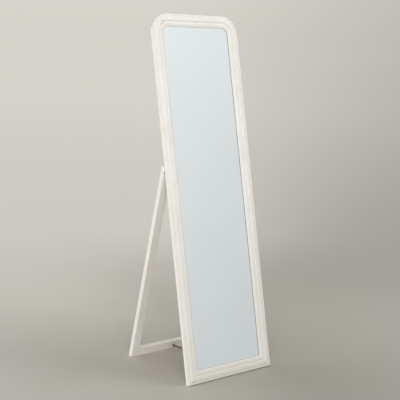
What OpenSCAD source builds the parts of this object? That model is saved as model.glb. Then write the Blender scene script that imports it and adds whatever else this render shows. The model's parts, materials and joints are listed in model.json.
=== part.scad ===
// Free-standing full-length mirror on an easel stand.
// The painted frame leans back on its lower rear edge. A stand of two legs and a crossbar is hinged
// to its back, and a chain from the crossbar to the frame stops the stand when it is open.
// The origin is on the floor, under the middle of the open mirror. Sizes are in millimetres.

/* [Frame] */
// Height of the frame, measured along its face
frame_h = 1600; // [1400:10:1800]
// Width of the frame
frame_w = 468; // [430:2:560]
// Angle by which the frame leans back, in degrees
frame_lean = 13; // [10:0.5:16]
// Thickness of the flat back frame
back_t = 12; // [11:0.5:16]
// Width of the back frame's rails and stiles
back_w = 56; // [50:1:70]
// Width of the part of the back frame that has the full thickness
back_full_w = 42; // [40:1:46]
// Length that is cut off the top corners of the back frame, down each side
back_cut_l = 64; // [40:1:66]
// Length that is cut off those corners along the top
back_cut_w = 78; // [40:1:80]

/* [Moulding] */
// Width of the moulding
moulding_w = 55; // [52:1:64]
// Outer radius of the two top corners of the moulding
corner_r = 83; // [78:1:110]
// Height of the moulding at the edge of the glass
sight_h = 2.5; // [2:0.1:3.5]
// Shadow gap between the glass and the thin lip of the moulding
lip_gap = 1; // [0.6:0.1:1.4]
// Width over which the moulding bears on the glass
lip_seat = 3; // [2:0.5:3]
// Width of the slope beside the glass
slope_w = 14; // [12:0.5:16]
// Half width of the curve at the top of that slope
slope_round_w = 8; // [6:0.5:10]
// Height of the crest of that slope
slope_h = 8.5; // [8:0.5:11]
// Width of the outer side of that crest
crest_side_w = 6.5; // [5:0.5:8]
// Height of the two grooves
groove_h = 7; // [5:0.5:7]
// Width of the inner groove
groove_w = 2; // [1:0.5:3]
// Width of the inner side of the large round
round_rise_w = 7; // [5:0.5:9]
// Width of the outer side of the large round
round_fall_w = 17; // [14:0.5:18]
// Height of the top of the large round
round_h = 12; // [11:0.5:16]
// Width of the narrow outer groove
quirk_w = 1; // [1:0.5:2]
// Height of the flat outer band
band_h = 8; // [8:0.5:10]
// Radius of the outer edge of that band
band_edge_r = 2.5; // [1:0.5:3]

/* [Glass] */
// Thickness of the mirror glass
glass_t = 4; // [3:0.5:5]
// Thickness of the hardboard panel behind the glass
panel_t = 3; // [2:0.5:4]
// Gap beside and above the glass in its rebate
glass_gap = 1; // [0.5:0.5:2]

/* [Stand] */
// Distance from the lower end of the frame to the hinge pins, along the back
hinge_height = 933; // [850:1:1000]
// Angle between the open stand and a plumb line, in degrees
stand_lean = 13; // [10:0.5:16]
// Width of each leg
leg_w = 38; // [36:1:44]
// Length of the legs above the hinge pins
leg_end_l = 8; // [4:0.5:10]
// Thickness of the legs and the crossbar
leg_t = 23; // [20:1:28]
// Height of the front face of the crossbar
bar_h = 35; // [32:1:60]
// Radius of the long edges of the legs and the crossbar
edge_r = 1.2; // [0.5:0.1:3]
// Gap that the closed stand would leave to the back frame
closed_gap = 0.5; // [0.3:0.1:2]

/* [Hinges] */
// Width of a hinge leaf
leaf_w = 30; // [28:1:32]
// Length of the leaf on the frame
frame_leaf_l = 22; // [18:1:30]
// Length of the leaf on the front of the leg
stand_leaf_l = 22; // [18:1:30]
// Distance of the frame leaf's screws from the pin
frame_leaf_screw_y = 13; // [11:0.5:14]
// Distance of the stand leaf's screws from the pin
stand_leaf_screw_y = 13; // [11:0.5:14]
// Thickness of the hinge leaves
leaf_t = 1.2; // [1:0.1:1.5]
// Outer radius of the hinge knuckles
knuckle_r = 3; // [2.6:0.1:3.4]
// Radius of the hinge pins
pin_r = 1.3; // [1:0.1:1.5]
// Radial clearance of a hinge pin in its knuckles
pin_clearance = 0.05; // [0.02:0.01:0.1]
// Distance of the hinge screws from the middle of the leaf
leaf_screw_x = 8.5; // [8:0.5:9]

/* [Chain] */
// Distance of the chain's eye from the lower end of the frame
frame_eye_s = 37; // [34:0.5:37]
// Radius of the ring of a screw eye, to the middle of its wire
eye_ring_r = 6; // [4:0.5:7]
// Radius of the wire of a screw eye
eye_wire_r = 1.5; // [1:0.1:1.6]
// Distance of the middle of the ring from the wood
eye_reach = 9; // [8:0.5:12]
// Depth of a screw eye in the wood
eye_depth = 10; // [6:0.5:10]
// Radius of the wire of a chain link
link_wire_r = 1; // [0.8:0.1:1.2]
// Outer width of a chain link
link_w = 9; // [8:0.5:11]
// Distance from link to link that the chain comes near to
link_pitch = 15; // [12:0.5:20]
// Drop of the middle of the chain below a straight line
chain_sag = 1; // [0:0.5:5]

/* [Fasteners] */
// Radius of the shank of the moulding screws
moulding_screw_r = 2; // [1.5:0.1:2.2]
// Radius of the head of the moulding screws
moulding_screw_head_r = 4; // [3.5:0.1:4.4]
// Length of the moulding screws
moulding_screw_l = 20; // [17:0.5:21]
// Number of screws in each stile of the moulding
stile_screws = 4; // [3:1:6]
// Radius of the shank of the hinge screws
leaf_screw_r = 1.6; // [1.4:0.1:1.8]
// Radius of the head of the hinge screws
leaf_screw_head_r = 3; // [2.6:0.1:3.2]
// Length of the hinge screws in the frame
frame_leaf_screw_l = 11; // [8:0.5:11.5]
// Length of the hinge screws in the legs
stand_leaf_screw_l = 16; // [10:1:19]
// Radius of the dowels in the back frame
frame_dowel_r = 2.5; // [2:0.1:2.5]
// Length of the dowels in the back frame
frame_dowel_l = 20; // [14:1:20]
// Radius of the dowels in the crossbar
bar_dowel_r = 4; // [3:0.5:4]
// Length of the dowels in the crossbar
bar_dowel_l = 40; // [30:2:50]
// Distance between the two dowels at each end of the crossbar
bar_dowel_spacing = 16; // [14:1:18]

/* [Hidden] */
$fn = 48;

cream = [0.93, 0.91, 0.86];
bare_wood = [0.78, 0.62, 0.42];
hardboard = [0.45, 0.31, 0.2];
silver = [0.75, 0.8, 0.84];
brass = [0.42, 0.33, 0.2];
steel = [0.66, 0.66, 0.64];

// Overlap of a cutting shape past the face that it cuts
cut = 1;
// Clearance of a glued or screwed fastener in its hole
fit = 0.05;
// Gap between the hinge knuckles along the pin
knuckle_gap = 0.2;
// Gap between a knuckle and the wood beside it
knuckle_air = 0.4;
// Gap round a knuckle that turns inside the other leaf
knuckle_room = 0.3;
// Gap between the leaf on the frame and the bevelled end of the open leg
leg_end_gap = 0.5;
// Gap round the sides of the leaf in its recess in the leg
recess_gap = 0.2;
knuckles = 5;
// Radius and thickness of the flattened ends of a hinge pin
pin_head_r = 2.2;
pin_head_t = 0.8;
// Gap between the wires of two linked pieces of the chain
link_gap = 0.2;
// Width and depth of a screw's slot, and the radius of its blunt point
slot_w = 0.8;
slot_depth = 0.7;
screw_point_r = 0.2;
// Small bevel on the inner edge of the moulding's outer band
band_bevel = 0.6;

// Places along the moulding's width, measured outward from the glass
crest_u = slope_w;
round_crest_u = crest_u + crest_side_w + groove_w + round_rise_w;
band_u = round_crest_u + round_fall_w + quirk_w;
lip_w = moulding_w - back_full_w - glass_gap - lip_seat;
sight_r = corner_r - moulding_w;
sight_x = frame_w / 2 - moulding_w;

// Height of the curve at the top of the slope, which meets the straight part of the slope smoothly
slope_round_h = (slope_h - sight_h) / (slope_w / slope_round_w + 1 - cos(45) - sin(45));

// Layers of the frame, measured forward from the rear face of the back frame
panel_d = back_t - glass_t - panel_t;
glass_d = back_t - glass_t;

// Screws that hold the moulding run on the middle line of the legs
screw_inset = leg_w / 2;
stile_screw_first = 120;
stile_screw_end = 40;
stile_screw_last = frame_h - corner_r - stile_screw_end;
rail_screw_x = 90;
corner_screw_angles = [20, 70];

// Dowels of the back frame: up from its lower end, and up from the inner edge of the top rail
bottom_dowel_s = [12, 30];
top_dowel_inset = 7;

// The pin's axis, behind the back frame
pin_offset = knuckle_r + knuckle_air;
hinge_x = frame_w / 2 - leg_w / 2;
pivot = [
    hinge_height * sin(frame_lean) + pin_offset * cos(frame_lean),
    hinge_height * cos(frame_lean) - pin_offset * sin(frame_lean)
];
knuckle_l = leaf_w / knuckles;

// The stand's front and rear faces, measured forward from the pin's axis
leg_front = pin_offset - closed_gap;
leg_rear = leg_front - leg_t;
leg_mid = (leg_front + leg_rear) / 2;
bar_top_v = bar_h - floor_drop(leg_front);
bar_mid_v = bar_h / 2 - floor_drop(leg_front);
bar_half_w = frame_w / 2 - leg_w;

// The frame's moulding reaches furthest forward, and the legs' lower rear edge furthest back
front_y = min([for (p = moulding_outline())
    (moulding_w - p[0]) * sin(frame_lean) - (back_t + p[1]) * cos(frame_lean)]);
rear_y = pivot[0] + floor_drop(leg_rear) * sin(stand_lean) - leg_rear * cos(stand_lean);
middle_y = (front_y + rear_y) / 2;

// Distance from the pin's axis down the leg to the floor, on the line that lies n in front of the axis
function floor_drop(n) = (pivot[1] - n * sin(stand_lean)) / cos(stand_lean);

// World y and z of a point at s along the frame and d in front of its back
function frame_point(s, d) = [
    s * sin(frame_lean) - d * cos(frame_lean) - middle_y,
    s * cos(frame_lean) + d * sin(frame_lean)
];

// World y and z of a point at v above the pin's axis, along the leg, and n in front of the axis
function stand_point(v, n) = [
    pivot[0] - middle_y - v * sin(stand_lean) - n * cos(stand_lean),
    pivot[1] + v * cos(stand_lean) - n * sin(stand_lean)
];

function arc(centre, size, from, to, steps) = [
    for (i = [0:steps])
        let (a = from + (to - from) * i / steps)
        [centre[0] + size[0] * cos(a), centre[1] + size[1] * sin(a)]
];

// Cross-section of the moulding: distance outward from the glass, and height above the back frame
function moulding_outline() = concat(
    [[0, lip_gap], [0, sight_h]],
    arc([crest_u, slope_h - slope_round_h], [slope_round_w, slope_round_h], 135, 90, 5),
    arc([crest_u, groove_h], [crest_side_w, slope_h - groove_h], 75, 0, 5),
    arc([round_crest_u, groove_h], [round_rise_w, round_h - groove_h], 180, 90, 8),
    arc([round_crest_u, groove_h], [round_fall_w, round_h - groove_h], 80, 0, 8),
    [[band_u, groove_h], [band_u, band_h - band_bevel], [band_u + band_bevel, band_h]],
    arc([moulding_w - band_edge_r, band_h - band_edge_r], [band_edge_r, band_edge_r], 90, 0, 4),
    [[moulding_w, 0], [lip_w, 0], [lip_w, lip_gap]]
);

module on_frame() {
    translate([0, -middle_y, 0]) rotate([90 - frame_lean, 0, 0]) children();
}

module on_stand() {
    translate([0, pivot[0] - middle_y, pivot[1]]) rotate([90 + stand_lean, 0, 0]) children();
}

// Children at each of a list of places on the frame's face
module at_each(places) {
    for (p = places) translate([p[0], p[1], 0]) children();
}

module left_side() {
    mirror([1, 0, 0]) children();
}

// Moulding along +Y, with the glass edge on the Y axis and its width toward +X
module moulding_run(length) {
    translate([0, length, 0]) rotate([90, 0, 0])
        linear_extrude(height = length) polygon(moulding_outline());
}

// Wood screw with a countersunk head at z = 0, pointing to +Z
module screw_body(r, head_r, length, extra) {
    tip_l = 2 * r;
    cylinder(h = head_r - r, r1 = head_r + extra, r2 = r + extra);
    cylinder(h = length - tip_l, r = r + extra);
    translate([0, 0, length - tip_l]) cylinder(h = tip_l, r1 = r + extra, r2 = screw_point_r + extra);
}

module screw(r, head_r, length) {
    difference() {
        screw_body(r, head_r, length, 0);
        translate([-head_r, -slot_w / 2, -cut]) cube([2 * head_r, slot_w, slot_depth + cut]);
    }
}

module moulding_screw_hole() {
    screw_body(moulding_screw_r, moulding_screw_head_r, moulding_screw_l, fit);
}

// Places of the moulding's screws on the right-hand side, the rails and the right-hand corner
stile_screw_places = [
    for (i = [0:stile_screws - 1])
        [frame_w / 2 - screw_inset,
            stile_screw_first + i * (stile_screw_last - stile_screw_first) / (stile_screws - 1)]
];
top_screw_places = [for (side = [-1, 1]) [side * rail_screw_x, frame_h - screw_inset]];
bottom_screw_places = [for (side = [-1, 1]) [side * rail_screw_x, screw_inset]];
corner_screw_places = [
    for (a = corner_screw_angles)
        [frame_w / 2 - corner_r + (corner_r - screw_inset) * cos(a),
            frame_h - corner_r + (corner_r - screw_inset) * sin(a)]
];

// Moulding

module right_stile_moulding() {
    color(cream) difference() {
        intersection() {
            translate([sight_x, 0, back_t]) moulding_run(frame_h - corner_r);
            linear_extrude(height = back_t + round_h + cut) polygon([
                [sight_x, moulding_w], [frame_w / 2, 0],
                [frame_w / 2, frame_h], [sight_x, frame_h]
            ]);
        }
        at_each(stile_screw_places) moulding_screw_hole();
    }
}

module right_corner_moulding() {
    color(cream) difference() {
        translate([frame_w / 2 - corner_r, frame_h - corner_r, back_t])
            rotate_extrude(angle = 90) translate([sight_r, 0]) polygon(moulding_outline());
        at_each(corner_screw_places) moulding_screw_hole();
    }
}

module moulding_left_stile() {
    on_frame() left_side() right_stile_moulding();
}

module moulding_right_stile() {
    on_frame() right_stile_moulding();
}

module moulding_left_corner() {
    on_frame() left_side() right_corner_moulding();
}

module moulding_right_corner() {
    on_frame() right_corner_moulding();
}

module moulding_top_rail() {
    length = frame_w - 2 * corner_r;
    on_frame() color(cream) difference() {
        translate([length / 2, frame_h - moulding_w, back_t])
            rotate([0, 0, 90]) moulding_run(length);
        at_each(top_screw_places) moulding_screw_hole();
    }
}

module moulding_bottom_rail() {
    on_frame() color(cream) difference() {
        intersection() {
            translate([-frame_w / 2, moulding_w, back_t])
                rotate([0, 0, -90]) moulding_run(frame_w);
            linear_extrude(height = back_t + round_h + cut) polygon([
                [-frame_w / 2, 0], [frame_w / 2, 0],
                [sight_x, moulding_w], [-sight_x, moulding_w]
            ]);
        }
        at_each(bottom_screw_places) moulding_screw_hole();
    }
}

// Back frame

// Outline of the back frame with its two top corners cut off, through its whole thickness
module chamfered_outline() {
    linear_extrude(height = back_t) polygon([
        [-frame_w / 2, 0], [frame_w / 2, 0],
        [frame_w / 2, frame_h - back_cut_l], [frame_w / 2 - back_cut_w, frame_h],
        [-frame_w / 2 + back_cut_w, frame_h], [-frame_w / 2, frame_h - back_cut_l]
    ]);
}

// Dowels that join the rails to the stile on the right, in the layer beside the glass
module right_frame_dowels(extra) {
    middle_d = (panel_d + back_t) / 2;
    for (s = concat(bottom_dowel_s, [frame_h - back_full_w + top_dowel_inset]))
        translate([frame_w / 2 - back_full_w - frame_dowel_l / 2 - extra, s, middle_d])
            rotate([0, 90, 0]) cylinder(h = frame_dowel_l + 2 * extra, r = frame_dowel_r + extra);
}

module right_back_stile() {
    color(cream) difference() {
        intersection() {
            union() {
                translate([frame_w / 2 - back_w, 0, 0]) cube([back_w, frame_h, panel_d]);
                translate([frame_w / 2 - back_full_w, 0, 0]) cube([back_full_w, frame_h, back_t]);
            }
            chamfered_outline();
        }
        at_each(stile_screw_places) moulding_screw_hole();
        at_each([corner_screw_places[0]]) moulding_screw_hole();
        right_frame_dowels(fit);
        translate([hinge_x, hinge_height, -leaf_t]) frame_leaf_screw_holes();
    }
}

module back_left_stile() {
    on_frame() left_side() right_back_stile();
}

module back_right_stile() {
    on_frame() right_back_stile();
}

// A rail between the stiles, with its outer edge at y = 0 and its inner edge toward +Y
module back_rail() {
    rear_half = frame_w / 2 - back_w;
    front_half = frame_w / 2 - back_full_w;
    translate([-rear_half, 0, 0]) cube([2 * rear_half, back_w, panel_d]);
    translate([-rear_half, 0, 0]) cube([2 * rear_half, back_full_w, back_t]);
    translate([-front_half, 0, panel_d]) cube([2 * front_half, back_full_w, back_t - panel_d]);
}

module back_top_rail() {
    on_frame() color(cream) difference() {
        intersection() {
            translate([0, frame_h, 0]) mirror([0, 1, 0]) back_rail();
            chamfered_outline();
        }
        at_each(top_screw_places) moulding_screw_hole();
        at_each([corner_screw_places[1]]) moulding_screw_hole();
        left_side() at_each([corner_screw_places[1]]) moulding_screw_hole();
        right_frame_dowels(fit);
        left_side() right_frame_dowels(fit);
    }
}

module back_bottom_rail() {
    on_frame() color(cream) difference() {
        back_rail();
        at_each(bottom_screw_places) moulding_screw_hole();
        right_frame_dowels(fit);
        left_side() right_frame_dowels(fit);
        translate([0, frame_eye_s, 0]) eye_hole();
    }
}

module frame_dowels() {
    on_frame() color(bare_wood) {
        right_frame_dowels(0);
        left_side() right_frame_dowels(0);
    }
}

module moulding_screws() {
    places = concat(stile_screw_places, corner_screw_places,
        [top_screw_places[1], bottom_screw_places[1]]);
    on_frame() color(steel) {
        at_each(places) screw(moulding_screw_r, moulding_screw_head_r, moulding_screw_l);
        left_side() at_each(places)
            screw(moulding_screw_r, moulding_screw_head_r, moulding_screw_l);
    }
}

// Glass and panel

// A sheet that stands in the rebate, from height d over thickness t
module rebate_sheet(d, t) {
    half = frame_w / 2 - back_full_w - glass_gap;
    translate([-half, back_full_w, d])
        cube([2 * half, frame_h - 2 * back_full_w - glass_gap, t]);
}

module mirror_glass() {
    on_frame() color(silver) rebate_sheet(glass_d, glass_t);
}

module back_panel() {
    on_frame() color(hardboard) rebate_sheet(panel_d, panel_t);
}

// Hinges, with the pin along X at the origin

// Cylinder along X over one of the knuckles' places, counted from the left
module knuckle(i, r, gap) {
    translate([-leaf_w / 2 + i * knuckle_l + gap / 2, 0, 0])
        rotate([0, 90, 0]) cylinder(h = knuckle_l - gap, r = r);
}

// A leaf that reaches to +Y, with its face at z = face, and its knuckles at places first, first + 2
// and so on
module hinge_leaf(length, first, face) {
    difference() {
        union() {
            difference() {
                translate([-leaf_w / 2, 0, face - leaf_t]) cube([leaf_w, length, leaf_t]);
                for (i = [1 - first:2:knuckles - 1])
                    knuckle(i, knuckle_r + knuckle_room, -knuckle_gap);
            }
            for (i = [first:2:knuckles - 1]) knuckle(i, knuckle_r, knuckle_gap);
        }
        translate([-leaf_w / 2 - cut, 0, 0]) rotate([0, 90, 0])
            cylinder(h = leaf_w + 2 * cut, r = pin_r + pin_clearance);
    }
}

// Hinge screw holes that start on the rear face of the frame's leaf, from the foot of the leaf
module frame_leaf_screw_holes() {
    at_each([for (side = [-1, 1]) [side * leaf_screw_x, frame_leaf_screw_y]])
        screw_body(leaf_screw_r, leaf_screw_head_r, frame_leaf_screw_l, fit);
}

module right_frame_leaf() {
    color(brass) translate([hinge_x, hinge_height, -pin_offset]) difference() {
        hinge_leaf(frame_leaf_l, 0, pin_offset);
        translate([0, 0, pin_offset - leaf_t]) frame_leaf_screw_holes();
    }
}

// The stand's leaf is let in flush with the front of the leg, so its screws point to the rear
module stand_leaf_screw_places() {
    translate([hinge_x, 0, leg_front]) mirror([0, 0, 1])
        at_each([for (side = [-1, 1]) [side * leaf_screw_x, -stand_leaf_screw_y]]) children();
}

module stand_leaf_screw_holes() {
    stand_leaf_screw_places()
        screw_body(leaf_screw_r, leaf_screw_head_r, stand_leaf_screw_l, fit);
}

module right_stand_leaf() {
    color(brass) difference() {
        translate([hinge_x, 0, 0]) mirror([0, 1, 0]) hinge_leaf(stand_leaf_l, 1, leg_front);
        stand_leaf_screw_holes();
    }
}

module right_hinge_pin_body() {
    color(brass) translate([hinge_x, hinge_height, -pin_offset]) rotate([0, 90, 0]) {
        translate([0, 0, -leaf_w / 2]) cylinder(h = leaf_w, r = pin_r);
        for (side = [0, 1]) mirror([0, 0, side])
            translate([0, 0, leaf_w / 2]) cylinder(h = pin_head_t, r = pin_head_r);
    }
}

module left_hinge_frame_leaf() {
    on_frame() left_side() right_frame_leaf();
}

module right_hinge_frame_leaf() {
    on_frame() right_frame_leaf();
}

module left_hinge_stand_leaf() {
    on_stand() left_side() right_stand_leaf();
}

module right_hinge_stand_leaf() {
    on_stand() right_stand_leaf();
}

module left_hinge_pin() {
    on_frame() left_side() right_hinge_pin_body();
}

module right_hinge_pin() {
    on_frame() right_hinge_pin_body();
}

module frame_leaf_screws() {
    on_frame() color(steel) for (side = [0, 1]) mirror([side, 0, 0])
        translate([hinge_x, hinge_height, -leaf_t])
            at_each([for (x = [-1, 1]) [x * leaf_screw_x, frame_leaf_screw_y]])
                screw(leaf_screw_r, leaf_screw_head_r, frame_leaf_screw_l);
}

module stand_leaf_screws() {
    on_stand() color(steel) for (side = [0, 1]) mirror([side, 0, 0])
        stand_leaf_screw_places() screw(leaf_screw_r, leaf_screw_head_r, stand_leaf_screw_l);
}

// Stand

module rounded_section(width, depth) {
    polygon(concat(
        arc([width / 2 - edge_r, depth / 2 - edge_r], [edge_r, edge_r], 0, 90, 3),
        arc([-width / 2 + edge_r, depth / 2 - edge_r], [edge_r, edge_r], 90, 180, 3),
        arc([-width / 2 + edge_r, -depth / 2 + edge_r], [edge_r, edge_r], 180, 270, 3),
        arc([width / 2 - edge_r, -depth / 2 + edge_r], [edge_r, edge_r], 270, 360, 3)
    ));
}

// Everything below the floor, seen from the stand's own axes
module below_floor() {
    depth = 200;
    rotate([-90 - stand_lean, 0, 0]) translate([-frame_w, 0, -pivot[1] - depth])
        cube([2 * frame_w, 2 * hinge_height, depth]);
}

// Dowels between the crossbar and the leg on the right
module right_bar_dowels(extra) {
    for (side = [-1, 1])
        translate([bar_half_w - bar_dowel_l / 2 - extra, bar_mid_v + side * bar_dowel_spacing / 2,
            leg_mid]) rotate([0, 90, 0]) cylinder(h = bar_dowel_l + 2 * extra, r = bar_dowel_r + extra);
}

// Everything in front of the end of the open leg, so that it stays clear of the leaf on the frame
module leg_end_bevel() {
    rotate([-frame_lean - stand_lean, 0, 0])
        translate([hinge_x - leg_w / 2 - cut, -2 * leg_t, pin_offset - leaf_t - leg_end_gap])
            cube([leg_w + 2 * cut, 4 * leg_t, leg_t]);
}

// Recess for the stand's leaf, and the hollow in which the knuckles lie
module hinge_recess() {
    recess_w = leaf_w + 2 * recess_gap;
    hollow_l = leaf_w + 2 * (pin_head_t + knuckle_air);
    translate([hinge_x - recess_w / 2, -stand_leaf_l - recess_gap, leg_front - leaf_t])
        cube([recess_w, stand_leaf_l + recess_gap, leaf_t + cut]);
    translate([hinge_x - hollow_l / 2, 0, 0]) rotate([0, 90, 0])
        cylinder(h = hollow_l, r = knuckle_r + knuckle_air);
}

module right_leg_body() {
    color(cream) difference() {
        translate([hinge_x, leg_end_l, leg_mid]) rotate([90, 0, 0])
            linear_extrude(height = leg_end_l + floor_drop(leg_rear) + cut)
                rounded_section(leg_w, leg_t);
        below_floor();
        leg_end_bevel();
        hinge_recess();
        right_bar_dowels(fit);
        stand_leaf_screw_holes();
    }
}

module left_leg() {
    on_stand() left_side() right_leg_body();
}

module right_leg() {
    on_stand() right_leg_body();
}

module crossbar() {
    height = bar_top_v + floor_drop(leg_rear);
    on_stand() color(cream) difference() {
        translate([-bar_half_w, bar_top_v - height, leg_mid])
            rotate([90, 0, 90]) linear_extrude(height = 2 * bar_half_w)
                translate([height / 2, 0]) rounded_section(height, leg_t);
        below_floor();
        right_bar_dowels(fit);
        left_side() right_bar_dowels(fit);
        translate([0, bar_mid_v, leg_front]) mirror([0, 0, 1]) eye_hole();
    }
}

module crossbar_dowels() {
    on_stand() color(bare_wood) {
        right_bar_dowels(0);
        left_side() right_bar_dowels(0);
    }
}

// Chain and its eyes

// Hole for a screw eye that enters the wood toward +Z
module eye_hole() {
    translate([0, 0, -cut]) cylinder(h = eye_depth + cut + fit, r = eye_wire_r + fit);
}

// Screw eye that enters the wood toward +Z, with its ring in the plane x = 0
module screw_eye() {
    color(brass) union() {
        translate([0, 0, -eye_reach]) rotate([0, 90, 0])
            rotate_extrude() translate([eye_ring_r, 0]) circle(r = eye_wire_r);
        translate([0, 0, eye_ring_r - eye_reach])
            cylinder(h = eye_depth + eye_reach - eye_ring_r, r = eye_wire_r);
    }
}

module frame_screw_eye() {
    on_frame() translate([0, frame_eye_s, 0]) screw_eye();
}

module stand_screw_eye() {
    on_stand() translate([0, bar_mid_v, leg_front]) mirror([0, 0, 1]) screw_eye();
}

// The chain runs from ring to ring, and the number of its links is odd, so both end links lie flat
stand_ring = stand_point(bar_mid_v, leg_front + eye_reach);
frame_ring = frame_point(frame_eye_s, -eye_reach);
ring_distance = norm(frame_ring - stand_ring);
chain_dir = (frame_ring - stand_ring) / ring_distance;
hook_r = eye_ring_r - eye_wire_r - link_wire_r - link_gap;
chain_start = stand_ring + hook_r * chain_dir;
chain_l = ring_distance - 2 * hook_r;
links = 2 * round((chain_l / link_pitch - 1) / 2) + 1;
pitch = (chain_l - 2 * link_wire_r - link_gap) / links;
link_half = (pitch + 2 * link_wire_r + link_gap) / 2;
link_side_r = link_w / 2 - link_wire_r;

// World y and z of the chain at a distance along it, with its sag
function chain_point(along) =
    chain_start + along * chain_dir
    - [0, 4 * chain_sag * (along / chain_l) * (1 - along / chain_l)];

// Chain link along Y in the plane z = 0
module link() {
    straight = link_half - link_side_r;
    for (side = [0, 1]) mirror([0, side, 0]) translate([0, straight, 0])
        rotate_extrude(angle = 180) translate([link_side_r, 0]) circle(r = link_wire_r);
    for (side = [-1, 1]) translate([side * link_side_r, straight, 0]) rotate([90, 0, 0])
        cylinder(h = 2 * straight, r = link_wire_r);
}

module stay_chain() {
    color(brass) for (i = [0:links - 1]) {
        along = link_half + i * pitch;
        here = chain_point(along);
        slope = chain_point(along + link_half) - chain_point(along - link_half);
        translate([0, here[0], here[1]]) rotate([atan2(slope[1], slope[0]), 0, 0])
            rotate([0, 90 * (i % 2), 0]) link();
    }
}

moulding_left_stile();
moulding_right_stile();
moulding_top_rail();
moulding_bottom_rail();
moulding_left_corner();
moulding_right_corner();
back_left_stile();
back_right_stile();
back_top_rail();
back_bottom_rail();
frame_dowels();
mirror_glass();
back_panel();
moulding_screws();
left_hinge_frame_leaf();
right_hinge_frame_leaf();
left_hinge_pin();
right_hinge_pin();
frame_leaf_screws();
frame_screw_eye();
left_leg();
right_leg();
crossbar();
crossbar_dowels();
left_hinge_stand_leaf();
right_hinge_stand_leaf();
stand_leaf_screws();
stand_screw_eye();
stay_chain();
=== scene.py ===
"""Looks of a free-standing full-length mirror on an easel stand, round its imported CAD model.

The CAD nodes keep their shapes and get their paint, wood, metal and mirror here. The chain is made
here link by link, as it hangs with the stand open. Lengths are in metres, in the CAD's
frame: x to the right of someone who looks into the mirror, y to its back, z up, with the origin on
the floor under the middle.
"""
import json
from math import asin, atan2, cos, pi, radians, sin

import bpy
from mathutils import Matrix, Vector


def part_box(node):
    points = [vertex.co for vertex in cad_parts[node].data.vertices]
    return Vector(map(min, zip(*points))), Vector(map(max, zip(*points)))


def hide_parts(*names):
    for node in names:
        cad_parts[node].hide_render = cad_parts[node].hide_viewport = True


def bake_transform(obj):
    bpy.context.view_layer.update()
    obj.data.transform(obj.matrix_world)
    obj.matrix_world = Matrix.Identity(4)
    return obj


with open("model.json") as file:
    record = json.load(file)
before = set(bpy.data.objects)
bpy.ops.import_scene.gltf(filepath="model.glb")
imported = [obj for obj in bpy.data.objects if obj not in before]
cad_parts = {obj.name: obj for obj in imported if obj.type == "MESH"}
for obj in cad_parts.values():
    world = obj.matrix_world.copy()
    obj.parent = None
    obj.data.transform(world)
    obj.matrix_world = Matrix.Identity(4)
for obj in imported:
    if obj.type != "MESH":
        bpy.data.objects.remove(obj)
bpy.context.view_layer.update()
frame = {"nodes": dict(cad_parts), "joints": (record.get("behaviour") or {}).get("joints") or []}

# Sizes of the CAD model that the looks follow
LEAN = radians(13)
FRAME_W = 0.468
FRAME_H = 1.6
BACK_W = 0.056
BACK_T = 0.012
# Width of the back frame's pieces that the glass leaves free
BACK_FULL_W = 0.042
MOULDING_W = 0.055
CORNER_R = 0.083
LIP_W = 0.009
LIP_GAP = 0.001
LEG_W = 0.038
LEG_T = 0.023
# How far the legs' fronts lie in front of the hinge pins
LEG_FRONT = 0.0029
BAR_H = 0.035
PIVOT_Y, PIVOT_Z = frame["joints"][0]["pos_m"][1:]
# Where the line of the frame's rear meets the floor
FOOT_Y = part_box("back_bottom_rail")[0].y + BACK_T * cos(LEAN)

# Places along the moulding's width, measured outward from the glass
SIGHT_X = FRAME_W / 2 - MOULDING_W
SIGHT_R = CORNER_R - MOULDING_W
RIDGES = [0.0478, 0.0542]
GROOVES = [0.0215]

# Camera, as a photographer would set it: place, turn from the y axis, tilt, roll and lens
CAMERA_PLACE = (-2.51569, -3.12458, 1.48386)
CAMERA_TURN = 0.67171
CAMERA_TILT = -0.18038
CAMERA_ROLL = 0.04055
CAMERA_LENS = 82.18
SENSOR_W = 36


def srgb(red, green, blue):
    """A colour given as it looks on a screen, from 0 to 255, as the linear colour that Blender uses."""
    def linear(value):
        share = value / 255
        return share / 12.92 if share <= 0.04045 else ((share + 0.055) / 1.055) ** 2.4
    return (linear(red), linear(green), linear(blue), 1)


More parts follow.
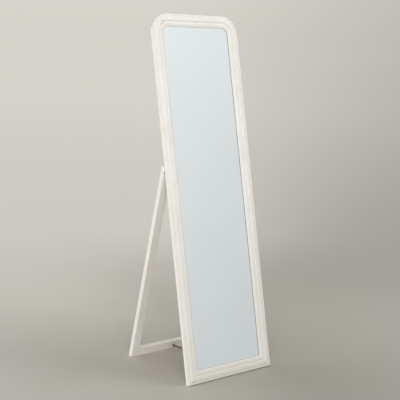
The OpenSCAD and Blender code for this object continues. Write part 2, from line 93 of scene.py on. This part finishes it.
class Nodes:
    """The nodes of one material or world, with a short call for each kind that the looks use."""

    def __init__(self, tree):
        self.tree = tree
        tree.nodes.clear()

    def feed(self, socket, value):
        if isinstance(value, bpy.types.NodeSocket):
            self.tree.links.new(value, socket)
        else:
            socket.default_value = value

    def add(self, kind, inputs=None, **settings):
        made = self.tree.nodes.new("ShaderNode" + kind)
        for name, value in settings.items():
            setattr(made, name, value)
        for name, value in (inputs or {}).items():
            self.feed(made.inputs[name], value)
        return made

    def math(self, operation, *values):
        made = self.add("Math", operation=operation)
        for socket, value in zip(made.inputs, values):
            self.feed(socket, value)
        return made.outputs[0]

    def plus(self, a, b):
        return self.math("ADD", a, b)

    def minus(self, a, b):
        return self.math("SUBTRACT", a, b)

    def times(self, a, b):
        return self.math("MULTIPLY", a, b)

    def size(self, a, b):
        """Length of the line from (0, 0) to (a, b)."""
        return self.math("SQRT", self.plus(self.times(a, a), self.times(b, b)))

    def smooth(self, value, low, high, bottom=0.0, top=1.0):
        """bottom where value is below low, top above high, and a smooth step between."""
        made = self.add("MapRange", interpolation_type="SMOOTHSTEP")
        for socket, item in zip(made.inputs, (value, low, high, bottom, top)):
            self.feed(socket, item)
        return made.outputs[0]

    def noise(self, vector, scale=1.0, detail=2.0, roughness=0.5):
        made = self.add("TexNoise", {"Vector": vector, "Scale": scale, "Detail": detail,
                                     "Roughness": roughness})
        return made.outputs[0]

    def mix(self, share, first, second):
        made = self.add("Mix", data_type="RGBA")
        self.feed(made.inputs[0], share)
        self.feed(made.inputs[6], first)
        self.feed(made.inputs[7], second)
        return made.outputs[2]

    def mix_shader(self, share, first, second):
        made = self.add("MixShader")
        for socket, item in zip(made.inputs, (share, first, second)):
            self.feed(socket, item)
        return made.outputs[0]

    def split(self, vector):
        return self.add("SeparateXYZ", {"Vector": vector}).outputs

    def join(self, x, y, z):
        return self.add("CombineXYZ", {"X": x, "Y": y, "Z": z}).outputs[0]

    def vector(self, operation, *values, **inputs):
        made = self.add("VectorMath", inputs, operation=operation)
        for socket, value in zip(made.inputs, values):
            self.feed(socket, value)
        return made.outputs

    def stretch(self, vector, by):
        return self.vector("MULTIPLY", vector, by)["Vector"]

    def scale(self, vector, by):
        return self.vector("SCALE", vector, Scale=by)["Vector"]

    def dot(self, vector, direction):
        return self.vector("DOT_PRODUCT", vector, direction)["Value"]

    def bump(self, height, depth):
        made = self.add("Bump", {"Height": height, "Strength": 1.0, "Distance": depth})
        return made.outputs[0]

    def object_place(self):
        return self.add("TexCoord").outputs["Object"]


def new_material(name):
    material = bpy.data.materials.new(name)
    material.use_nodes = True
    return material, Nodes(material.node_tree)


def finish_material(nodes, **inputs):
    """Feeds a Principled shader and ends the material with it."""
    shader = nodes.add("BsdfPrincipled", inputs)
    output = nodes.add("OutputMaterial")
    nodes.tree.links.new(shader.outputs[0], output.inputs["Surface"])


def frame_place(nodes):
    """x across the frame, y up along it, z forward from the rear of the back frame."""
    made = nodes.add("Mapping", {"Vector": nodes.object_place()})
    made.inputs["Rotation"].default_value = (LEAN - pi / 2, 0, 0)
    made.inputs["Location"].default_value = (0, -FOOT_Y * sin(LEAN), FOOT_Y * cos(LEAN))
    return made.outputs[0]


def stand_place(nodes):
    """x across the stand, y up along its legs from the hinge pins, z forward from the pins."""
    made = nodes.add("Mapping", {"Vector": nodes.object_place()})
    made.inputs["Rotation"].default_value = (-LEAN - pi / 2, 0, 0)
    made.inputs["Location"].default_value = (
        0, PIVOT_Y * sin(LEAN) - PIVOT_Z * cos(LEAN), PIVOT_Y * cos(LEAN) + PIVOT_Z * sin(LEAN))
    return made.outputs[0]


# Cream paint

CREAM_LIGHT = srgb(243, 241, 236)
CREAM_WARM = srgb(240, 237, 230)
CREAM_STREAK = srgb(234, 230, 221)
# Painted shade: the moulding's cream turns darker toward the floor
CREAM_PAINTED_SHADE = srgb(222, 218, 209)
# Share of the painted shade, the lower colour, at the frame's foot, on its sides and on the bottom rail,
# and where it ends
FOOT_SHADE_SHARE = 0.4
FOOT_SHADE_SHARE_BOTTOM = 0.8
FOOT_SHADE_END = 1.1
# Darker paint in the moulding's grooves: painted shade
GROOVE_SHADE = srgb(214, 208, 196)
GROOVE_SHADE_SHARE = 0.2
# Half widths of the painted shade in a groove, where it is full and where it ends
GROOVE_SHADE_HALF = (0.0006, 0.0026)
WORN_WOOD = srgb(205, 184, 152)
WORN_SHARE = 0.7
# Distances from an edge at which the wear is full and at which it ends
WORN_REACH = (0.0002, 0.0016)
# Near-black paint under the moulding's lip: painted shade between the lip and the mirror
REBATE_PAINTED_SHADE = srgb(46, 42, 38)
# Heights over the frame's rear between which the painted shade under the moulding's lip ends
REBATE_SHADE_TOP = (BACK_T + 1.15 * LIP_GAP, BACK_T + 1.35 * LIP_GAP)
REBATE_SHADE_FADE = 0.0005
# Features per metre along a piece, across it and into it
STROKES = (14, 620, 620)
BANDS = (3, 110, 110)
PATCHES = (45, 260, 260)
CLOUDS = 9.0
BRUSH_DEPTH = 0.00012
# Small dents in the left side's paint: place across and up the frame, and radius
NICKS = [(-0.2085, 0.8552, 0.0022), (-0.1857, 1.5666, 0.0024), (-0.182, 1.5542, 0.002),
         (-0.2071, 0.0132, 0.003)]
NICK_WOOD = srgb(92, 72, 52)
NICK_SHARE = 0.85
# Width of a dent over its length, and its depth over the brush strokes'
NICK_SLIM = 0.7
NICK_DEPTH = 3.0
# A distance at which nothing is near
FAR_AWAY = 1.0


def nearest(nodes, value, places):
    """Distance from value to the nearest of some places."""
    distances = [nodes.math("ABSOLUTE", nodes.minus(value, place)) for place in places]
    least = distances[0]
    for distance in distances[1:]:
        least = nodes.math("MINIMUM", least, distance)
    return least


def paint_finish(nodes, run, edge, groove, place):
    """Colour, roughness and height of brushed paint.

    run is the place along the piece, across it and into it, and the strokes follow the first. The
    paint is worn where edge, the distance to an edge, is small, and darker where groove is, as painted
    shade in the grooves.
    """
    strokes = nodes.noise(nodes.stretch(run, STROKES), detail=3.0, roughness=0.6)
    bands = nodes.noise(nodes.stretch(run, BANDS))
    clouds = nodes.noise(place, CLOUDS)
    patches = nodes.noise(nodes.stretch(run, PATCHES), detail=4.0, roughness=0.62)
    colour = nodes.mix(nodes.smooth(clouds, 0.35, 0.65), CREAM_LIGHT, CREAM_WARM)
    streak = nodes.times(nodes.smooth(strokes, 0.52, 0.75), nodes.smooth(bands, 0.4, 0.62, 0.25, 0.8))
    colour = nodes.mix(streak, colour, CREAM_STREAK)
    # Painted shade in the grooves, patchy
    groove_shaded = nodes.times(nodes.smooth(groove, *GROOVE_SHADE_HALF, GROOVE_SHADE_SHARE, 0.0),
                         nodes.smooth(patches, 0.3, 0.6, 0.5, 1.0))
    colour = nodes.mix(groove_shaded, colour, GROOVE_SHADE)
    worn = nodes.times(nodes.smooth(edge, *WORN_REACH, 1.0, 0.0), nodes.smooth(patches, 0.55, 0.68))
    colour = nodes.mix(nodes.times(worn, WORN_SHARE), colour, WORN_WOOD)
    height = nodes.minus(nodes.times(strokes, 0.8), nodes.times(worn, 0.5))
    roughness = nodes.plus(nodes.smooth(strokes, 0.3, 0.7, 0.4, 0.52), nodes.times(worn, 0.2))
    return colour, roughness, height


def box_edge(nodes, places, middle, half):
    """Distance along the surface of a bar to its nearest long edge."""
    inside = [nodes.minus(half_size, nodes.math("ABSOLUTE", nodes.minus(place, centre)))
              for place, centre, half_size in zip(places, middle, half)]
    return nodes.math("MAXIMUM", *inside)


def dent(nodes, x, s, colour, height):
    """Adds the dents to a colour and a height."""
    for nick_x, nick_s, nick_r in NICKS:
        distance = nodes.size(nodes.minus(x, nick_x), nodes.times(nodes.minus(s, nick_s), NICK_SLIM))
        nick = nodes.smooth(distance, nick_r * 0.5, nick_r, 1.0, 0.0)
        colour = nodes.mix(nodes.times(nick, NICK_SHARE), colour, NICK_WOOD)
        height = nodes.minus(height, nodes.times(nick, NICK_DEPTH))
    return colour, height


def moulding_paint(name, run):
    """Paint for a piece of the moulding. run is stile, top, bottom or corner."""
    material, nodes = new_material(name)
    place = frame_place(nodes)
    x, s, d = nodes.split(place)
    side_x = nodes.math("ABSOLUTE", x)
    if run == "stile":
        along, across = s, nodes.minus(side_x, SIGHT_X)
    elif run == "top":
        along, across = x, nodes.minus(s, FRAME_H - MOULDING_W)
    elif run == "bottom":
        along, across = x, nodes.minus(MOULDING_W, s)
    else:
        from_x = nodes.minus(side_x, FRAME_W / 2 - CORNER_R)
        from_s = nodes.minus(s, FRAME_H - CORNER_R)
        along = nodes.times(nodes.math("ARCTAN2", from_s, from_x), CORNER_R)
        across = nodes.minus(nodes.size(from_x, from_s), SIGHT_R)
    edge = nearest(nodes, across, RIDGES)
    groove = nearest(nodes, across, GROOVES)
    colour, roughness, height = paint_finish(nodes, nodes.join(along, across, d), edge, groove, place)
    # Painted shade, darker toward the frame's foot and strongest on the bottom rail
    low = FOOT_SHADE_SHARE_BOTTOM if run == "bottom" else FOOT_SHADE_SHARE
    colour = nodes.mix(nodes.smooth(s, 0.0, FOOT_SHADE_END, low, 0.0), colour, CREAM_PAINTED_SHADE)
    # Painted shade under the moulding's lip, next to the mirror
    rebate = nodes.times(nodes.smooth(d, *REBATE_SHADE_TOP, 1.0, 0.0),
                         nodes.smooth(across, LIP_W, LIP_W + REBATE_SHADE_FADE, 1.0, 0.0))
    colour = nodes.mix(rebate, colour, REBATE_PAINTED_SHADE)
    colour, height = dent(nodes, x, s, colour, height)
    finish_material(nodes, **{"Base Color": colour, "Roughness": roughness,
                              "Normal": nodes.bump(height, BRUSH_DEPTH)})
    return material


def bar_paint(name, place_of, run, middle, half):
    """Paint for a straight bar of the back frame or the stand.

    run is up or over. middle and half are the middle and the half sizes of the bar's section, across
    it and forward.
    """
    material, nodes = new_material(name)
    place = place_of(nodes)
    x, y, d = nodes.split(place)
    along, across = (y, nodes.math("ABSOLUTE", x)) if run == "up" else (x, y)
    edge = box_edge(nodes, (across, d), middle, half)
    colour, roughness, height = paint_finish(nodes, nodes.join(along, across, d), edge, FAR_AWAY, place)
    finish_material(nodes, **{"Base Color": colour, "Roughness": roughness,
                              "Normal": nodes.bump(height, BRUSH_DEPTH)})
    return material


# Wood, hardboard, metal and glass

WOOD_PALE = srgb(214, 182, 138)
WOOD_DARK = srgb(186, 148, 104)
WOOD_PORE = srgb(140, 104, 70)
BOARD_PALE = srgb(150, 116, 84)
BOARD_DARK = srgb(130, 98, 68)
FIBRE_DARK = srgb(98, 70, 46)
FIBRE_PALE = srgb(172, 140, 104)
SILVER_PALE = srgb(243, 247, 247)
SILVER_DARK = srgb(240, 245, 246)
GLASS_EDGE = srgb(150, 176, 168)
BRASS_PALE = srgb(98, 76, 48)
BRASS_DARK = srgb(66, 50, 34)
BRASS_RUBBED = srgb(176, 142, 92)
ZINC_PALE = srgb(200, 200, 198)
ZINC_DARK = srgb(168, 168, 166)
ZINC_DULL = srgb(128, 127, 122)


def bare_wood():
    material, nodes = new_material("bare_wood")
    place = nodes.object_place()
    rings = nodes.noise(nodes.stretch(place, (40, 900, 900)), detail=4.0, roughness=0.6)
    pores = nodes.noise(nodes.stretch(place, (200, 4000, 4000)))
    colour = nodes.mix(nodes.smooth(rings, 0.3, 0.7), WOOD_PALE, WOOD_DARK)
    colour = nodes.mix(nodes.smooth(pores, 0.6, 0.75, 0.0, 0.5), colour, WOOD_PORE)
    finish_material(nodes, **{"Base Color": colour, "Roughness": nodes.smooth(rings, 0.3, 0.7, 0.5, 0.65),
                              "Normal": nodes.bump(pores, 0.0001)})
    return material


def hardboard():
    """Pressed brown fibre board: fine fibres in all directions, with darker and lighter clouds."""
    material, nodes = new_material("hardboard")
    place = frame_place(nodes)
    clouds = nodes.noise(place, 12.0, detail=4.0, roughness=0.6)
    fibres = nodes.noise(nodes.stretch(place, (260, 900, 260)), detail=5.0, roughness=0.7)
    crossing = nodes.noise(nodes.stretch(place, (900, 260, 900)), detail=5.0, roughness=0.7)
    grain = nodes.times(nodes.plus(fibres, crossing), 0.5)
    colour = nodes.mix(nodes.smooth(clouds, 0.3, 0.7), BOARD_PALE, BOARD_DARK)
    colour = nodes.mix(nodes.smooth(grain, 0.5, 0.62, 0.0, 0.6), colour, FIBRE_DARK)
    colour = nodes.mix(nodes.smooth(grain, 0.36, 0.46, 0.5, 0.0), colour, FIBRE_PALE)
    finish_material(nodes, **{"Base Color": colour, "Roughness": nodes.smooth(grain, 0.4, 0.6, 0.42, 0.6),
                              "Normal": nodes.bump(grain, 0.00015)})
    return material


def mirror_silver():
    """Silvered glass, seen as its silver, with a faint green cast, and a seamed edge in the rebate."""
    material, nodes = new_material("mirror")
    place = frame_place(nodes)
    clouds = nodes.noise(place, 3.0)
    film = nodes.noise(nodes.stretch(place, (9, 4, 9)), detail=3.0)
    to_side = nodes.minus(FRAME_W / 2 - BACK_FULL_W, nodes.math("ABSOLUTE", nodes.split(place)[0]))
    colour = nodes.mix(nodes.smooth(clouds, 0.3, 0.7), SILVER_PALE, SILVER_DARK)
    colour = nodes.mix(nodes.smooth(to_side, 0.0005, 0.002, 0.6, 0.0), colour, GLASS_EDGE)
    finish_material(nodes, **{"Base Color": colour, "Metallic": 1.0,
                              "Roughness": nodes.smooth(film, 0.35, 0.7, 0.006, 0.02)})
    return material


def antique_brass():
    """Brass that was darkened, and rubbed bright again where it is touched."""
    material, nodes = new_material("antique_brass")
    place = nodes.object_place()
    tarnish = nodes.noise(place, 260.0, detail=4.0, roughness=0.6)
    rub = nodes.noise(place, 90.0, detail=3.0, roughness=0.6)
    colour = nodes.mix(nodes.smooth(tarnish, 0.35, 0.65), BRASS_PALE, BRASS_DARK)
    colour = nodes.mix(nodes.smooth(rub, 0.52, 0.68, 0.0, 0.8), colour, BRASS_RUBBED)
    finish_material(nodes, **{"Base Color": colour, "Metallic": 1.0,
                              "Roughness": nodes.smooth(tarnish, 0.3, 0.7, 0.3, 0.48),
                              "Normal": nodes.bump(tarnish, 0.00004)})
    return material


def zinc_plate():
    material, nodes = new_material("steel_screws")
    place = nodes.object_place()
    spangle = nodes.noise(place, 700.0, detail=3.0, roughness=0.6)
    dulled = nodes.noise(place, 150.0)
    colour = nodes.mix(nodes.smooth(spangle, 0.35, 0.65), ZINC_PALE, ZINC_DARK)
    colour = nodes.mix(nodes.smooth(dulled, 0.5, 0.7, 0.0, 0.6), colour, ZINC_DULL)
    finish_material(nodes, **{"Base Color": colour, "Metallic": 1.0,
                              "Roughness": nodes.smooth(dulled, 0.3, 0.7, 0.28, 0.5),
                              "Normal": nodes.bump(spangle, 0.00002)})
    return material


def dress(material, *names):
    """Gives CAD nodes a material."""
    for name in names:
        mesh = frame["nodes"][name].data
        if not mesh.materials:
            mesh.materials.append(material)
        for index in range(len(mesh.materials)):
            mesh.materials[index] = material


def floor_drop(n):
    """Distance down the leg from the pins to the floor, on the line that lies n in front of them."""
    return (PIVOT_Z - n * sin(LEAN)) / cos(LEAN)


BAR_MIDDLE = BAR_H / 2 - floor_drop(LEG_FRONT)
BACK_HALF = (BACK_W / 2, BACK_T / 2)
BACK_MIDDLE_D = BACK_T / 2
STAND_MIDDLE_D = LEG_FRONT - LEG_T / 2

for piece, run in (("left_stile", "stile"), ("right_stile", "stile"), ("top_rail", "top"),
                   ("bottom_rail", "bottom"), ("left_corner", "corner"), ("right_corner", "corner")):
    dress(moulding_paint(f"paint_{piece}", run), f"moulding_{piece}")
for side in ("left", "right"):
    dress(bar_paint(f"paint_back_{side}", frame_place, "up",
                    (FRAME_W / 2 - BACK_W / 2, BACK_MIDDLE_D), BACK_HALF), f"back_{side}_stile")
    dress(bar_paint(f"paint_{side}_leg", stand_place, "up",
                    (FRAME_W / 2 - LEG_W / 2, STAND_MIDDLE_D), (LEG_W / 2, LEG_T / 2)), f"{side}_leg")
for rail, middle_s in (("top", FRAME_H - BACK_W / 2), ("bottom", BACK_W / 2)):
    dress(bar_paint(f"paint_back_{rail}", frame_place, "over", (middle_s, BACK_MIDDLE_D), BACK_HALF),
          f"back_{rail}_rail")
dress(bar_paint("paint_crossbar", stand_place, "over",
                (BAR_MIDDLE, STAND_MIDDLE_D), (BAR_H / 2, LEG_T / 2)), "crossbar")
dress(mirror_silver(), "mirror_glass")
dress(hardboard(), "back_panel")
dress(bare_wood(), "frame_dowels", "crossbar_dowels")
dress(zinc_plate(), "moulding_screws", "frame_leaf_screws", "stand_leaf_screws")
brass = antique_brass()
dress(brass, "left_hinge_frame_leaf", "right_hinge_frame_leaf", "left_hinge_stand_leaf",
      "right_hinge_stand_leaf", "left_hinge_pin", "right_hinge_pin", "frame_screw_eye",
      "stand_screw_eye")


# Chain

EYE_RING_R = 0.006
EYE_WIRE_R = 0.0015
EYE_REACH = 0.009
FRAME_EYE_S = 0.037
LINK_WIRE_R = 0.001
LINK_W = 0.009
LINK_PITCH = 0.015
LINK_GAP = 0.0002
CHAIN_SAG = 0.001
# How much the weld thickens the wire, and half its length
WELD_SWELL = 0.2
WELD_L = 0.0009
LINK_STEPS = 48
WIRE_SIDES = 12


def frame_point(s, d):
    """The point s up the frame and d in front of its rear, in the middle of its width."""
    return Vector((0, s * sin(LEAN) - d * cos(LEAN) + FOOT_Y, s * cos(LEAN) + d * sin(LEAN)))


def stand_point(v, n):
    """The point v up from the hinge pins along the legs and n in front of the pins."""
    return Vector((0, PIVOT_Y - v * sin(LEAN) - n * cos(LEAN), PIVOT_Z + v * cos(LEAN) - n * sin(LEAN)))


def link_outline(half_l, side_r):
    """Points of a link's wire in its own plane, each with its outward direction and place from the weld."""
    straight = half_l - side_r
    perimeter = 4 * straight + 2 * pi * side_r
    points = []
    for step in range(LINK_STEPS):
        way = step * perimeter / LINK_STEPS
        if way < 2 * straight:
            points.append((Vector((side_r, way - straight, 0)), Vector((1, 0, 0)), way - straight))
            continue
        way -= 2 * straight
        if way < pi * side_r:
            out = Vector((cos(way / side_r), sin(way / side_r), 0))
            points.append((out * side_r + Vector((0, straight, 0)), out, half_l))
            continue
        way -= pi * side_r
        if way < 2 * straight:
            points.append((Vector((-side_r, straight - way, 0)), Vector((-1, 0, 0)), half_l))
            continue
        way -= 2 * straight
        out = Vector((-cos(way / side_r), -sin(way / side_r), 0))
        points.append((out * side_r - Vector((0, straight, 0)), out, half_l))
    return points


def link_mesh(name, half_l, side_r):
    """A link of round wire, closed by a weld that swells a little in the middle of one side."""
    corners, faces = [], []
    for point, out, from_weld in link_outline(half_l, side_r):
        wire_r = LINK_WIRE_R * (1 + WELD_SWELL * max(0, 1 - (from_weld / WELD_L) ** 2))
        for side in range(WIRE_SIDES):
            turn = 2 * pi * side / WIRE_SIDES
            corners.append(point + out * wire_r * cos(turn) + Vector((0, 0, wire_r * sin(turn))))
    for step in range(LINK_STEPS):
        after = (step + 1) % LINK_STEPS
        for side in range(WIRE_SIDES):
            beside = (side + 1) % WIRE_SIDES
            faces.append((step * WIRE_SIDES + side, step * WIRE_SIDES + beside,
                          after * WIRE_SIDES + beside, after * WIRE_SIDES + side))
    mesh = bpy.data.meshes.new(name)
    mesh.from_pydata([tuple(corner) for corner in corners], [], faces)
    mesh.validate()
    mesh.shade_smooth()
    return mesh


def make_chain():
    """The chain's links, in a line from the stand's eye to the frame's eye, with a slight sag."""
    stand_ring = stand_point(BAR_MIDDLE, LEG_FRONT + EYE_REACH)
    frame_ring = frame_point(FRAME_EYE_S, -EYE_REACH)
    span = (frame_ring - stand_ring).length
    toward = (frame_ring - stand_ring) / span
    hook = EYE_RING_R - EYE_WIRE_R - LINK_WIRE_R - LINK_GAP
    start, length = stand_ring + hook * toward, span - 2 * hook
    links = 2 * round((length / LINK_PITCH - 1) / 2) + 1
    pitch = (length - 2 * LINK_WIRE_R - LINK_GAP) / links
    half_l = (pitch + 2 * LINK_WIRE_R + LINK_GAP) / 2

    def chain_point(way):
        return start + way * toward - Vector((0, 0, 4 * CHAIN_SAG * way / length * (1 - way / length)))

    for index in range(links):
        name = f"chain_link_{index + 1:02d}"
        way = half_l + index * pitch
        here = chain_point(way)
        slope = chain_point(way + half_l) - chain_point(way - half_l)
        link = bpy.data.objects.new(name, link_mesh(name, half_l, LINK_W / 2 - LINK_WIRE_R))
        bpy.context.scene.collection.objects.link(link)
        link.data.materials.append(brass)
        link.matrix_world = (Matrix.Translation(here)
                             @ Matrix.Rotation(atan2(slope.z, slope.y), 4, "X")
                             @ Matrix.Rotation(pi / 2 * (index % 2), 4, "Y"))
        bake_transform(link)
        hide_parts("stay_chain")


make_chain()


# Studio

STUDIO_R = 60.0
STUDIO_SIDES = 96
# Distances from the mirror between which the floor turns into the backdrop
NEAR_R = 0.6
FAR_R = 3.0
# The backdrop's strength on the floor at the mirror, lower there as painted shade, and the distance at
# which it is full
BACKDROP_NEAR = 0.9
BACKDROP_R = 16.0
# The floor's colours, paler on the left and darker on the right: painted light and shade
FLOOR_PAINTED_LIT = srgb(212, 209, 200)
FLOOR_PAINTED_SHADE = srgb(176, 172, 163)
# Places across the camera's view between which the floor's colour darkens to the right, as painted shade,
# and how far its mottle shifts them
FLOOR_SHADE_TURN = (-1.2, 0.6)
FLOOR_MOTTLE = 0.05
# Places away from the camera between which the floor's colour grows paler, as painted light, and its
# strengths there
FLOOR_PAINTED_LIGHT_DEPTHS = (-0.6, 1.1)
FLOOR_PAINTED_LIGHT_STRENGTHS = (1.0, 1.36)
# Colours of the backdrop behind the mirror and in front of it, each on the left and on the right, the right
# ones darker as painted shade
REAR_LIGHT = srgb(213, 210, 202)
REAR_DARK = srgb(173, 169, 162)
FRONT_LIGHT = srgb(212, 214, 214)
FRONT_DARK = srgb(174, 176, 177)
# Directions that the soft light comes from, and its strength there
SOFT_LIGHTS = [((-1, -1, 0), 0.85), ((1, -1, 0), 0.6), ((-1, 1, 0), 2.2)]
# Softboxes: name, place, side and watts. Both face the middle of the mirror
LAMPS = [("key", (-2.2, -2.9, 2.0), 1.8, 54), ("high", (1.5, -1.6, 2.8), 1.8, 26)]
LAMP_TARGET = (0, 0, 0.8)
# The directions that run to the right and away in the photograph, along the floor
ACROSS = (cos(CAMERA_TURN), -sin(CAMERA_TURN), 0)
AWAY = (sin(CAMERA_TURN), cos(CAMERA_TURN), 0)


def surround(nodes, direction):
    """Colour of the backdrop in a direction: darker to the right, as painted shade, and cooler in front of
    the mirror.
    """
    x, y = nodes.split(direction)[:2]
    right = nodes.smooth(x, 0.55, 0.95)
    rear = nodes.mix(right, REAR_LIGHT, REAR_DARK)
    front = nodes.mix(right, FRONT_LIGHT, FRONT_DARK)
    return nodes.mix(nodes.smooth(y, -0.3, 0.3), front, rear)


def seen_or_mirrored(nodes):
    """1 for what the camera, a gloss or clear glass sees, and 0 for the light that falls on things."""
    path = nodes.add("LightPath").outputs
    seen = nodes.math("MAXIMUM", path["Is Camera Ray"], path["Is Glossy Ray"])
    return nodes.math("MAXIMUM", seen, path["Is Transmission Ray"])


def make_world():
    """Soft light from a few sides, and a backdrop that grows paler upward, as painted light."""
    world = bpy.data.worlds.new("studio")
    bpy.context.scene.world = world
    world.use_nodes = True
    nodes = Nodes(world.node_tree)
    direction = nodes.add("TexCoord").outputs["Generated"]
    height = nodes.math("MAXIMUM", nodes.split(direction)[2], 0.0)
    paler = nodes.scale(surround(nodes, direction), nodes.plus(1.0, height))
    shown = nodes.add("Background", {"Color": paler, "Strength": 1.0})
    light = 0.0
    for way, strength in SOFT_LIGHTS:
        facing = nodes.math("MAXIMUM", nodes.dot(direction, Vector(way).normalized()), 0.0)
        light = nodes.plus(light, nodes.times(nodes.times(facing, facing), strength))
    soft = nodes.add("Background", {"Color": (1, 1, 1, 1), "Strength": light})
    mixed = nodes.mix_shader(seen_or_mirrored(nodes), soft.outputs[0], shown.outputs[0])
    nodes.tree.links.new(mixed, nodes.add("OutputWorld").inputs["Surface"])


def make_floor():
    """A wide floor that takes the mirror's shadow, and turns into the backdrop far away."""
    bpy.ops.mesh.primitive_circle_add(vertices=STUDIO_SIDES, radius=STUDIO_R, fill_type="NGON")
    floor = bpy.context.object
    floor.name = "floor"
    material, nodes = new_material("floor")
    place = nodes.object_place()
    distance = nodes.vector("LENGTH", place)["Value"]
    direction = nodes.vector("NORMALIZE", place)["Vector"]
    mottle = nodes.smooth(nodes.noise(place, 3.0, detail=3.0), 0.3, 0.7, -FLOOR_MOTTLE, FLOOR_MOTTLE)
    toward_right = nodes.plus(nodes.dot(place, ACROSS), mottle)
    # Painted light and shade: the floor's colour darkens to the right and grows paler away from the camera
    colour = nodes.mix(nodes.smooth(toward_right, *FLOOR_SHADE_TURN), FLOOR_PAINTED_LIT, FLOOR_PAINTED_SHADE)
    paler = nodes.scale(colour, nodes.smooth(nodes.dot(place, AWAY), *FLOOR_PAINTED_LIGHT_DEPTHS, *FLOOR_PAINTED_LIGHT_STRENGTHS))
    matte = nodes.add("BsdfDiffuse", {"Color": paler})
    strength = nodes.smooth(distance, 0.0, BACKDROP_R, BACKDROP_NEAR, 1.0)
    backdrop = nodes.add("Emission", {"Color": surround(nodes, direction), "Strength": strength})
    share = nodes.times(nodes.smooth(distance, NEAR_R, FAR_R), seen_or_mirrored(nodes))
    mixed = nodes.mix_shader(share, matte.outputs[0], backdrop.outputs[0])
    nodes.tree.links.new(mixed, nodes.add("OutputMaterial").inputs["Surface"])
    floor.data.materials.append(material)


def make_lamp(name, place, size, power):
    """A square softbox that neither the camera nor the mirror shows."""
    lamp = bpy.data.lights.new(name, "AREA")
    lamp.shape = "SQUARE"
    lamp.size = size
    lamp.energy = power
    holder = bpy.data.objects.new(name, lamp)
    bpy.context.scene.collection.objects.link(holder)
    holder.location = place
    holder.rotation_euler = (Vector(LAMP_TARGET) - Vector(place)).to_track_quat("-Z", "Y").to_euler()
    holder.visible_glossy = False
    holder.visible_camera = False


def make_camera():
    data = bpy.data.cameras.new("camera")
    data.lens = CAMERA_LENS
    data.sensor_width = SENSOR_W
    camera = bpy.data.objects.new("camera", data)
    bpy.context.scene.collection.objects.link(camera)
    forward = Vector((sin(CAMERA_TURN) * cos(CAMERA_TILT), cos(CAMERA_TURN) * cos(CAMERA_TILT),
                      sin(CAMERA_TILT)))
    level = Vector(ACROSS)
    upright = level.cross(forward)
    right = level * cos(CAMERA_ROLL) + upright * sin(CAMERA_ROLL)
    up = upright * cos(CAMERA_ROLL) - level * sin(CAMERA_ROLL)
    camera.matrix_world = (Matrix.Translation(CAMERA_PLACE)
                           @ Matrix((right, up, -forward)).transposed().to_4x4())
    bpy.context.scene.camera = camera


make_world()
make_floor()
for lamp_row in LAMPS:
    make_lamp(*lamp_row)
make_camera()
bpy.context.scene.view_settings.view_transform = "Standard"
